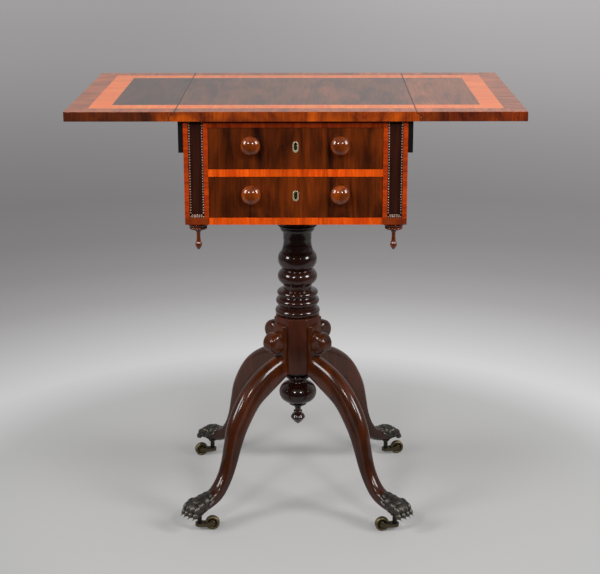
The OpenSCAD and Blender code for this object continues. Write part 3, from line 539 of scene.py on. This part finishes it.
def ebonisedWood():
    # ebonised beech: a thin black stain, satin, with the pores still there
    material, tree, shader = startMaterial("ebonisedBeech")
    fleck = grain(tree, grainCoordinates(tree, "z"), 1.4, 20, 0.6, 0.3, 3.0)
    feed(tree, shader, {
        "Base Color": add(tree, "ValToRGB", {"Fac": fleck}, [(0.4, "#050404"), (0.7, "#0e0c0b")])["Color"],
        "Normal": add(tree, "Bump", {"Height": fleck, "Distance": 0.05 * mm, "Strength": 0.3})["Normal"],
        "Roughness": 0.5, "Specular IOR Level": 0.15})
    return material


blackWood = ebonisedWood()
print("materials made")

# top and case: copies of the construction pieces, with their edges eased by so many millimetres
for node in ("centre_top", "leaf_left", "leaf_right"):
    softened(node, node + "_veneered", topWoods[node], 1.0, 3)
for node, material, edge in (
        ("side_left", sideWood, 0.3), ("side_right", sideWood, 0.3), ("case_back", frontWood, 0.3),
        ("post_front_left", frontPostWood, 0.3), ("post_front_right", frontPostWood, 0.3),
        ("rear_posts", rearPostWood, 0.3),
        ("top_rail", topRailWood, 0.3), ("middle_rail", bandWood, 0.3), ("bottom_rail", bandWood, 0.3),
        ("upper_drawer_front", frontWood, 0.35), ("lower_drawer_front", frontWood, 0.35),
        ("fly_rails", blackWood, 0.4), ("bracket_front_left", blackWood, 0.5),
        ("bracket_front_right", blackWood, 0.5), ("bracket_rear_left", blackWood, 0.5),
        ("bracket_rear_right", blackWood, 0.5), ("column_cap", capWood, 1.0),
        ("upper_escutcheon", wornMetal("upperKeyholeBrass", linerTones, "upper_escutcheon"), 0.4),
        ("lower_escutcheon", wornMetal("lowerKeyholeBrass", linerTones, "lower_escutcheon"), 0.4)):
    softened(node, node + "_finished", material, edge)
for corner in cornerTurns:
    softened("horn_" + corner, "horn_" + corner + "_cast", casterMetal, 0.5)
    softened("wheel_" + corner, "wheel_" + corner + "_turned", wheelMetal, 0.3)
print("top, case and casters eased")


def arc(start, end, bulge):
    # from start to end, swelling outwards by bulge, or hollowed where it is negative
    if not bulge:
        return [end]
    count = 9
    half = (end - start).length / 2
    radius = (half ** 2 + bulge ** 2) / (2 * abs(bulge))
    side = Vector((start.y - end.y, end.x - start.x)).normalized() * (1 if bulge > 0 else -1)
    centre = (start + end) / 2 - side * (radius - abs(bulge))
    sweep = 4 * math.atan(abs(bulge) / half) * (-1 if bulge > 0 else 1)
    spoke = start - centre
    points = []
    for i in range(1, count + 1):
        a = sweep * i / count
        points.append(centre + Vector((spoke.x * math.cos(a) - spoke.y * math.sin(a),
                                       spoke.x * math.sin(a) + spoke.y * math.cos(a))))
    return points


def turned(outline, height, centre, spinSteps):
    # outline from the top down: radius, level over height, and bulge, all in millimetres, spun upright
    points = [Vector((outline[0][0], outline[0][1] + height))]
    for radius, level, bulge in outline[1:]:
        points += arc(points[-1], Vector((radius, level + height)), bulge)
    deselect()
    bpy.ops.mesh.primitive_plane_add(size=mm, location=(points[0].x * mm, 0, points[0].y * mm))
    piece = bpy.context.object
    settle(piece)
    bpy.ops.object.mode_set(mode="EDIT")
    bpy.ops.mesh.select_all(action="SELECT")
    bpy.ops.mesh.merge(type="CENTER")
    for previous, point in zip(points, points[1:]):
        step = (point - previous) * mm
        bpy.ops.mesh.extrude_region_move(TRANSFORM_OT_translate={"value": (step.x, 0, step.y)})
    bpy.ops.mesh.select_all(action="SELECT")
    bpy.ops.mesh.spin(steps=spinSteps, angle=2 * math.pi, center=(0, 0, 0), axis=(0, 0, 1))
    bpy.ops.object.mode_set(mode="OBJECT")
    cleanUp(piece)
    piece.location = centre
    settle(piece)
    return piece


def makeColumn():
    column = {
        "steps": 72, "blockTop": 340, "blockFoot": 238, "acrossFlats": 78, "edge": 1.6,
        "outline": [  # over the octagonal block
            (0, 196, 0), (44, 196, 0), (44, 194, 0), (33.4, 165.6, -4), (33.4, 162.6, 1.2), (30.6, 161.4, 0),
            (29.4, 154.8, 0.6), (28.8, 154, 0), (25.8, 153.2, 0), (25.1, 141, -0.3), (27.6, 119, -1.3),
            (27.6, 117.6, 0), (29.5, 116.2, 0), (27.2, 86, 6.2), (26.6, 85, 0), (27.2, 84, 0),
            (26.2, 57.5, 8.4), (25.2, 56, 0), (25.2, 48.5, 0), (31, 46.4, 0), (31, 36, 5.4), (31.6, 35, 0),
            (32.2, 32.6, 0), (32.2, 19.6, 6.4), (32.6, 18.6, 0), (33.2, 14.2, 0), (33.2, 1.2, 6.6),
            (34.5, 0.4, 0), (34.5, -4, 0), (0, -4, 0)],
    }
    top, foot = column["blockTop"], column["blockFoot"]
    shaft = turned(column["outline"], top, axisPoint, column["steps"])
    deselect()
    bpy.ops.mesh.primitive_cylinder_add(
        vertices=8, radius=column["acrossFlats"] / 2 / math.cos(math.pi / 8) * mm, depth=(top - foot) * mm,
        rotation=(0, 0, math.pi / 8), location=(axisPoint.x, axisPoint.y, (top + foot) / 2 * mm))
    block = rounded(bpy.context.object, column["edge"], 3, 30)
    shaft.data.materials.append(columnWood)
    block.data.materials.append(blockWood)
    finishPiece(joinPieces([shaft, block]), "turnedColumn", "column", None, 40)


def makeFinial():
    finial = {
        "steps": 56,
        "outline": [  # under the octagonal block
            (0, 0.5, 0), (20, 0.5, 0), (20, 0, 0), (20, -8, 4.4), (18.6, -9, 0), (18.4, -10.6, 0),
            (18.4, -18.4, 4), (17.6, -20, 0), (18.2, -25.6, -1.6), (20, -27, 0), (15.4, -64, 16.2),
            (14, -64.8, 0), (14, -69.6, 2.2), (7, -73.6, -1.6), (5.3, -78.6, -0.4), (5.6, -81, 0),
            (5.8, -85.6, 2.3), (6.2, -87.2, 0), (11.6, -91.4, 1.2), (11, -97.6, 1.6), (0, -108.8, 0.8)],
    }
    piece = turned(finial["outline"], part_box("drop_finial")[1].z / mm, axisPoint, finial["steps"])
    finishPiece(piece, "turnedFinial", "drop_finial", columnWood, 40)


def makePendants():
    pendant = {
        "steps": 40, "inset": 16.5,  # from the outermost edge of the row to an axis
        "outline": [  # under the case
            (0, 0, 0), (13.5, 0, 0), (13.5, -5.8, 3), (12.4, -6.2, 0), (12, -6.8, 0), (11.8, -11.2, 2.6),
            (9.6, -12, 0), (3.2, -21, -2.6), (3.1, -26.5, -0.2), (3.4, -29, 0), (4.6, -34, -0.3),
            (3.4, -42.4, 1.4), (0, -46, 0.6)],
    }
    low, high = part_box("pendants")
    inset = pendant["inset"] * mm
    master = turned(pendant["outline"], high.z / mm, (0, 0, 0), pendant["steps"])
    pieces = []
    for x in (low.x + inset, high.x - inset):
        for y in (low.y + inset, high.y - inset):
            twin = duplicate(master)
            twin.location = (x, y, 0)
            pieces.append(twin)
    bpy.data.objects.remove(master)
    finishPiece(joinPieces(pieces), "turnedPendants", "pendants", pendantWood, 40)


def makeKnobs(drawer):
    knob = {
        "steps": 48,
        "outline": [  # in front of the drawer
            (0, 24, 0), (13.1, 18.55, 1.41), (11.4, 5.66, 3.2), (7.2, 5.2, -0.4), (6.6, 3.4, -0.6),
            (8.6, 2.7, 0), (10, 0.4, 1.1), (10, 0, 0), (0, 0, 0)],
    }
    low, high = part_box(drawer + "_knobs")
    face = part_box(drawer + "_drawer_front")[0].y
    radius = (high.z - low.z) / 2
    master = turned(knob["outline"], 0, (0, 0, 0), knob["steps"])
    pieces = []
    for x in (low.x + radius, high.x - radius):
        twin = duplicate(master)
        twin.rotation_euler = (math.radians(90), 0, 0)
        twin.location = (x, face, (low.z + high.z) / 2)
        pieces.append(twin)
    bpy.data.objects.remove(master)
    finishPiece(joinPieces(pieces), drawer + "Knobs", drawer + "_knobs", knobWood, 40)


def through(stations, steps):
    # smooth places between the stations
    found = []
    last = len(stations) - 1
    for i in range(last):
        a, b, c, d = (Vector(stations[min(max(i + k, 0), last)]) for k in (-1, 0, 1, 2))
        for step in range(steps):
            t = step / steps
            found.append(0.5 * (2 * b + (c - a) * t + (2 * a - 5 * b + 4 * c - d) * t ** 2
                                + (3 * b - a - 3 * c + d) * t ** 3))
    return found + [Vector(stations[last])]


def drawnOut(stations, corner):
    # a rounded section drawn out through the stations
    rows = [row * mm for row in through(stations, 4)]
    deselect()
    bpy.ops.mesh.primitive_plane_add(size=1)
    piece = bpy.context.object
    piece.scale = (rows[0][2], rows[0][3], 1)
    settle(piece)
    bpy.ops.object.mode_set(mode="EDIT")
    bpy.ops.mesh.select_all(action="SELECT")
    bpy.ops.mesh.bevel(offset=corner * mm, affect="VERTICES", segments=5)
    facing = 0.0
    place = Vector((0, 0, 0))
    for i, row in enumerate(rows):
        target = Vector((row[0], 0, row[1]))
        before, after = rows[max(i - 1, 0)], rows[min(i + 1, len(rows) - 1)]
        turn = math.atan2(after[0] - before[0], after[1] - before[1])
        if i:
            bpy.ops.mesh.extrude_region_move(TRANSFORM_OT_translate={"value": target - place})
            thick, wide = row[2] / rows[i - 1][2], row[3] / rows[i - 1][3]
            bpy.ops.transform.resize(value=(thick, wide, thick), center_override=target)
        else:
            bpy.ops.transform.translate(value=target)
        bpy.ops.transform.rotate(value=facing - turn, orient_axis="Y", center_override=target)
        facing, place = turn, target
    bpy.ops.object.mode_set(mode="OBJECT")
    cleanUp(piece)
    return piece


def setRound(master, name, node, material, smoothAngle):
    # made once beside the X axis: one copy goes to each corner, turned about the column
    for corner, turn in cornerTurns.items():
        twin = duplicate(master)
        twin.rotation_euler = (0, 0, math.radians(turn))
        twin.location = axisPoint
        finishPiece(twin, name + "_" + corner, node + "_" + corner, material, smoothAngle)
    bpy.data.objects.remove(master)


def makeLegs():
    leg = {
        "stations": [  # distance from the column, height, thickness, width
            (36, 254, 42, 30), (80, 234, 50, 30), (118, 208, 46, 29), (147, 167, 41, 27), (160, 133, 33, 25),
            (169, 104, 28, 24), (181, 78, 25, 24), (198, 57, 25, 25), (216, 48, 25, 26), (233, 43.5, 23, 27)],
        "corner": 13, "rollX": 57.5, "rollZ": 298.5, "rollRadius": 18.5, "rollEdge": 9, "width": 30,
        "head": ((37, -14, 246), (47.5, 14, 329)), "headEdge": 3,  # upright piece between roll and block
    }
    limb = drawnOut(leg["stations"], leg["corner"])
    softer = limb.modifiers.new("round", "SUBSURF")
    softer.levels = softer.render_levels = 1
    applyModifiers(limb)
    deselect()
    bpy.ops.mesh.primitive_cylinder_add(
        vertices=64, radius=leg["rollRadius"] * mm, depth=leg["width"] * mm,
        location=(leg["rollX"] * mm, 0, leg["rollZ"] * mm), rotation=(math.radians(90), 0, 0))
    roll = rounded(bpy.context.object, leg["rollEdge"], 8)
    low, high = (Vector(corner) * mm for corner in leg["head"])
    deselect()
    bpy.ops.mesh.primitive_cube_add(size=1, location=(low + high) / 2)
    head = bpy.context.object
    head.scale = high - low
    settle(head)
    rounded(head, leg["headEdge"], 4)
    setRound(joinPieces([limb, roll, head]), "carvedLeg", "leg", legWood, 45)


def ball(place, size, lean):
    # an egg shape, leaning outwards and down by some degrees
    deselect()
    bpy.ops.mesh.primitive_uv_sphere_add(segments=32, ring_count=20, radius=mm, location=Vector(place) * mm,
                                         rotation=(0, math.radians(lean), 0))
    piece = bpy.context.object
    piece.scale = size
    return piece


def makePaws():
    paw = {
        # place, half sizes and lean of the eggs that make the foot
        "body": [((240, 0, 44.5), (19, 17.5, 15.5), 0), ((251, 0, 42.5), (14, 19.5, 11.5), 0),
                 ((231, 0, 50.5), (12, 15.5, 11), 20)],
        "toes": 4, "toePitch": 9.6, "toeReach": 255, "outerToesBack": 1.4,
        # each toe has three joints and a claw: distance past its reach, share of its place across, height,
        # and for a joint its half sizes and lean
        "joints": [(-5, 0.96, 49, (9.5, 5, 6.4), 22), (4, 1, 43.5, (8.6, 4.9, 6.6), 55),
                   (8.5, 1.03, 35.5, (6.4, 4.8, 5.6), 20)],
        "claw": (13.5, 1.05, 32.6), "clawLean": 128, "clawRadius": 2.7, "clawPoint": 0.5, "clawLength": 11,
        # tufts of hair run back over the end of the leg, each second one longer
        "tufts": 7, "tuftTurn": 27, "tuftLengths": (9.5, 12), "tuftSize": (4.4, 3.2), "tuftLean": 29,
        "tuftX": 225.5, "tuftZ": 46, "tuftSpread": (13.4, 11.6), "tuftBack": 0.12,
        "pintleX": 240, "socketRadius": 7.5, "socketFoot": 27.5, "socketTop": 39.5,
        "boreRadius": 4.4, "boreFoot": 20, "boreTop": 38.5,
        "detail": 0.75, "relax": 5,  # finest detail of the casting in millimetres, and rounds of smoothing
    }
    parts = [ball(*egg) for egg in paw["body"]]
    for i in range(paw["toes"]):
        aside = i - (paw["toes"] - 1) / 2
        across = aside * paw["toePitch"]
        reach = paw["toeReach"] - paw["outerToesBack"] * abs(aside) ** 1.5
        for past, share, height, size, lean in paw["joints"]:
            parts.append(ball((reach + past, across * share, height), size, lean))
        past, share, height = paw["claw"]
        deselect()
        bpy.ops.mesh.primitive_cone_add(
            vertices=24, radius1=paw["clawRadius"] * mm, radius2=paw["clawPoint"] * mm,
            depth=paw["clawLength"] * mm, location=Vector((reach + past, across * share, height)) * mm,
            rotation=(0, math.radians(paw["clawLean"]), 0))
        parts.append(bpy.context.object)
    for i in range(paw["tufts"]):
        around = math.radians((i - (paw["tufts"] - 1) / 2) * paw["tuftTurn"])
        side, up = paw["tuftSpread"][0] * math.sin(around), paw["tuftSpread"][1] * math.cos(around)
        parts.append(ball((paw["tuftX"] - paw["tuftBack"] * up, side, paw["tuftZ"] + up),
                          (paw["tuftLengths"][i % 2], *paw["tuftSize"]), paw["tuftLean"]))
    deselect()
    bpy.ops.mesh.primitive_cylinder_add(
        vertices=40, radius=paw["socketRadius"] * mm, depth=(paw["socketTop"] - paw["socketFoot"]) * mm,
        location=(paw["pintleX"] * mm, 0, (paw["socketTop"] + paw["socketFoot"]) / 2 * mm))
    parts.append(bpy.context.object)
    for part in parts:
        settle(part)
    casting = joinPieces(parts)
    cast = casting.modifiers.new("cast", "REMESH")
    cast.mode = "VOXEL"
    cast.voxel_size = paw["detail"] * mm
    relax = casting.modifiers.new("relax", "SMOOTH")
    relax.factor = 0.5
    relax.iterations = paw["relax"]
    applyModifiers(casting)
    deselect()
    bpy.ops.mesh.primitive_cylinder_add(
        vertices=48, radius=paw["boreRadius"] * mm, depth=(paw["boreTop"] - paw["boreFoot"]) * mm,
        location=(paw["pintleX"] * mm, 0, (paw["boreTop"] + paw["boreFoot"]) / 2 * mm))
    drill = bpy.context.object
    bore = casting.modifiers.new("bore", "BOOLEAN")
    bore.operation = "DIFFERENCE"
    bore.solver = "EXACT"
    bore.object = drill
    applyModifiers(casting)
    bpy.data.objects.remove(drill)
    setRound(casting, "castPaw", "paw", pawMetal, 60)


moulding = {
    "width": 3.0, "edge": 0.35,
    # up the sides of a panel: thickness of the strip, then pitch, half sizes and outward place of its teeth
    "strip": 1.2, "pitch": 4.3, "tooth": (1.4, 1.5, 1.4), "toothOut": 0.9,
    # the same for the two level rows at its foot
    "footStrip": 1.4, "footPitch": 3.4, "footTooth": (1.5, 1.35, 1.25), "footToothOut": 1.1,
    # the rows at the foot: height as a share of the width, and place of the upper one in widths
    "footShare": 0.9, "upperRow": 1.4,
}


def strip(place, size):
    deselect()
    bpy.ops.mesh.primitive_cube_add(size=1, location=place)
    piece = bpy.context.object
    piece.scale = size
    settle(piece)
    piece.data.materials.append(stripWood)
    return rounded(piece, moulding["edge"], 2)


def teeth(place, step, count, size):
    deselect()
    bpy.ops.mesh.primitive_uv_sphere_add(segments=14, ring_count=10, radius=mm, location=place)
    piece = bpy.context.object
    piece.scale = size
    settle(piece)
    piece.data.materials.append(beadWood)
    row = piece.modifiers.new("row", "ARRAY")
    row.use_relative_offset = False
    row.use_constant_offset = True
    row.constant_offset_displace = step
    row.count = count
    applyModifiers(piece)
    return piece


def makePostMouldings():
    # small rounded teeth up both edges of each sunk panel, and two level rows at its foot
    low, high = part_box("post_mouldings")
    panel, width, pitch = frontPost["panelWidth"] * mm, moulding["width"] * mm, moulding["pitch"] * mm
    thick, footThick = moulding["strip"] * mm, moulding["footStrip"] * mm
    toothY, footToothY = high.y - moulding["toothOut"] * mm, high.y - moulding["footToothOut"] * mm
    foot = low.z + 2 * width
    count = int((high.z - foot) / pitch)
    pieces = []
    for left in (low.x, high.x - panel):
        for x in (left + width / 2, left + panel - width / 2):
            pieces.append(strip((x, high.y - thick / 2, (foot + high.z) / 2), (width, thick, high.z - foot)))
            pieces.append(teeth((x, toothY, foot + pitch / 2), (0, 0, pitch), count, moulding["tooth"]))
        for z, inset in ((low.z + width / 2, 0), (low.z + moulding["upperRow"] * width, width)):
            long = panel - 2 * inset
            number = int(long / (moulding["footPitch"] * mm))
            step = long / number
            pieces.append(strip((left + panel / 2, high.y - footThick / 2, z),
                                (long, footThick, width * moulding["footShare"])))
            pieces.append(teeth((left + inset + step / 2, footToothY, z), (step, 0, 0), number,
                                moulding["footTooth"]))
    finishPiece(joinPieces(pieces), "toothedMouldings", "post_mouldings", None, 50)


makeLegs()
makePaws()
makePostMouldings()
makeColumn()
makeFinial()
makePendants()
for drawer in ("upper", "lower"):
    makeKnobs(drawer)
print("turned work spun")

# the hidden and plain pieces get their finish on the construction piece
finishes = {
    "oak": plainOak, "lock_brass": linerMetal, "iron": ironMetal, "paw_brass": pawMetal,
    "caster_brass": casterMetal, "dark_turnery": knobWood, "dark_mahogany": columnWood,
    "black_beech": blackWood, "crossband": bandWood, "case_rosewood": sideWood,
    "top_rosewood": topWoods["centre_top"],
}
for name, piece in nodes.items():
    piece.data.materials.clear()
    piece.data.materials.append(finishes[slotOf[name]])
print("finishes given")

studio = {
    "floorRadius": 24.0, "floorColour": "#a7a6a5", "pastPaper": "#2a2929",
    "paperEnd": (-0.85, -0.36),  # metres in front of the table, over which the paper ends
    # grey of the paper by its distance from the table, in metres
    "paper": [(0.0, "#b8b8b8"), (0.6, "#b8b8b8"), (0.8, "#cfcfcf"), (1.05, "#bab9b9"), (1.3, "#a2a0a1"),
              (1.6, "#918f90"), (1.95, "#868485"), (2.5, "#817f80"), (3.4, "#8a8889"), (4.9, "#999798"),
              (6.3, "#a19fa0"), (9.6, "#a9a7a8")],
    "paperReach": 9.6, "skyColour": "#aaa8a9",
    "fromTheLeft": 0.08, "slope": 1.5,  # painted light: how much the glowing grey gains in each metre to the right, and how far
    "shadowed": (0.4, 0.75, 0.25),  # metres over which the lit paper gives way to painted glow, and the share of glow near by, which lightens the shadows
    # light of the room, and the parts of a direction between which it changes
    "behind": 0.38, "inFront": 0.05, "above": 0.42, "toTheRight": 0.12,
    "backwards": (-0.35, 0.6), "upwards": (0.45, 0.9), "sideways": (-0.2, 0.2),
    "aim": (0, 0, 0.45),
    # place, size and watts of each lamp
    "lamps": {
        "leftSoftbox": ((-2.3, -1.1, 1.9), (0.9, 1.2), 60),
        "rightSoftbox": ((2.3, -1.1, 1.9), (0.9, 1.2), 66),
        "frontLeftLamp": ((-1.1, -2.7, 2.2), (0.45, 0.45), 30),
        "frontRightLamp": ((1.1, -2.7, 2.2), (0.45, 0.45), 30)},
    "camera": {"place": (29.0, -2486.1, 1117.5), "down": 16.265, "left": 0.522, "roll": 0.146, "lens": 87.62},
}


def makeFloor():
    bpy.ops.mesh.primitive_circle_add(vertices=96, radius=studio["floorRadius"], fill_type="NGON",
                                      location=(0, 0, cadLow.z))
    floor = bpy.context.object
    floor.name = "studioFloor"
    # matt paper: even grey with soft shadows, under a painted glow that only the eye sees
    material, tree, shader = startMaterial("studioPaper")
    place = add(tree, "TexCoord")["Object"]
    split = add(tree, "SeparateXYZ", {"Vector": place})
    # the paper ends a little way in front of the table, and the room beyond it is dark
    start, end = studio["paperEnd"]
    onPaper = add(tree, "MapRange", {0: split["Y"], 1: start, 2: end}, **smooth)[0]
    feed(tree, shader, {
        "Roughness": 0.75, "Specular IOR Level": 0.2,
        "Base Color": add(tree, "Mix", {0: onPaper, 6: linear(studio["pastPaper"]),
                                        7: linear(studio["floorColour"])}, **covering)[2]})
    # away from the table the eye sees painted light: glowing rings of grey without shadows, as on a paper
    # that sweeps up
    away = add(tree, "VectorMath", {0: place}, operation="LENGTH")["Value"]
    share = add(tree, "Math", {0: away, 1: studio["paperReach"]}, operation="DIVIDE")[0]
    rings = add(tree, "ValToRGB", {"Fac": share}, [
        (reach / studio["paperReach"], colour) for reach, colour in studio["paper"]])["Color"]
    side, gain = studio["slope"], studio["slope"] * studio["fromTheLeft"]
    level = add(tree, "MapRange", {0: split["X"], 1: -side, 2: side, 3: 1 - gain, 4: 1 + gain}, **smooth)[0]
    glow = add(tree, "Emission", {"Color": rings, "Strength": level})[0]
    start, end, flatness = studio["shadowed"]
    flat = add(tree, "MapRange", {0: away, 1: start, 2: end, 3: flatness, 4: 1.0}, **smooth)[0]
    seen = add(tree, "Math", {0: flat, 1: add(tree, "LightPath")["Is Camera Ray"]}, operation="MULTIPLY")[0]
    feed(tree, tree.nodes["Material Output"], {
        "Surface": add(tree, "MixShader", {0: seen, 1: shader.outputs[0], 2: glow})[0]})
    floor.data.materials.append(material)


def makeAir():
    # the room is bright behind the table and above it, and dim in front, as in a studio with one backdrop
    world = bpy.data.worlds.new("studioAir")
    bpy.context.scene.world = world
    world.use_nodes = True
    tree = world.node_tree
    split = add(tree, "SeparateXYZ", {"Vector": add(tree, "TexCoord")["Generated"]})
    start, end = studio["backwards"]
    back = add(tree, "MapRange", {
        0: split["Y"], 1: start, 2: end, 3: studio["inFront"], 4: studio["behind"]}, **smooth)[0]
    start, end = studio["sideways"]
    gain = studio["toTheRight"]
    lopsided = add(tree, "MapRange", {0: split["X"], 1: start, 2: end, 3: 1 - gain, 4: 1 + gain}, **smooth)[0]
    around = add(tree, "Math", {0: back, 1: lopsided}, operation="MULTIPLY")[0]
    start, end = studio["upwards"]
    overhead = add(tree, "MapRange", {0: split["Z"], 1: start, 2: end}, **smooth)[0]
    level = add(tree, "Mix", {0: overhead, 2: around, 3: studio["above"]}, data_type="FLOAT")[0]
    seen = add(tree, "LightPath")["Is Camera Ray"]
    feed(tree, tree.nodes["Background"], {
        "Strength": 1.0,
        "Color": add(tree, "Mix", {0: seen, 6: level, 7: linear(studio["skyColour"])}, **covering)[2]})


def makeLamps():
    for name, (place, size, watts) in studio["lamps"].items():
        bpy.ops.object.light_add(type="AREA", location=place)
        lamp = bpy.context.object
        lamp.name = name
        lamp.data.shape = "RECTANGLE"
        lamp.data.size, lamp.data.size_y = size
        lamp.data.energy = watts
        towards = Vector(studio["aim"]) - Vector(place)
        lamp.rotation_euler = towards.to_track_quat("-Z", "Y").to_euler()


def makeCamera():
    view = studio["camera"]
    bpy.ops.object.camera_add(location=[v * mm for v in view["place"]])
    camera = bpy.context.object
    camera.rotation_euler = [math.radians(a) for a in (90 - view["down"], view["roll"], view["left"])]
    camera.data.lens = view["lens"]
    camera.data.sensor_width = 36
    bpy.context.scene.camera = camera


makeFloor()
makeAir()
makeLamps()
makeCamera()
bpy.context.scene.view_settings.view_transform = "Standard"
print("studio set")
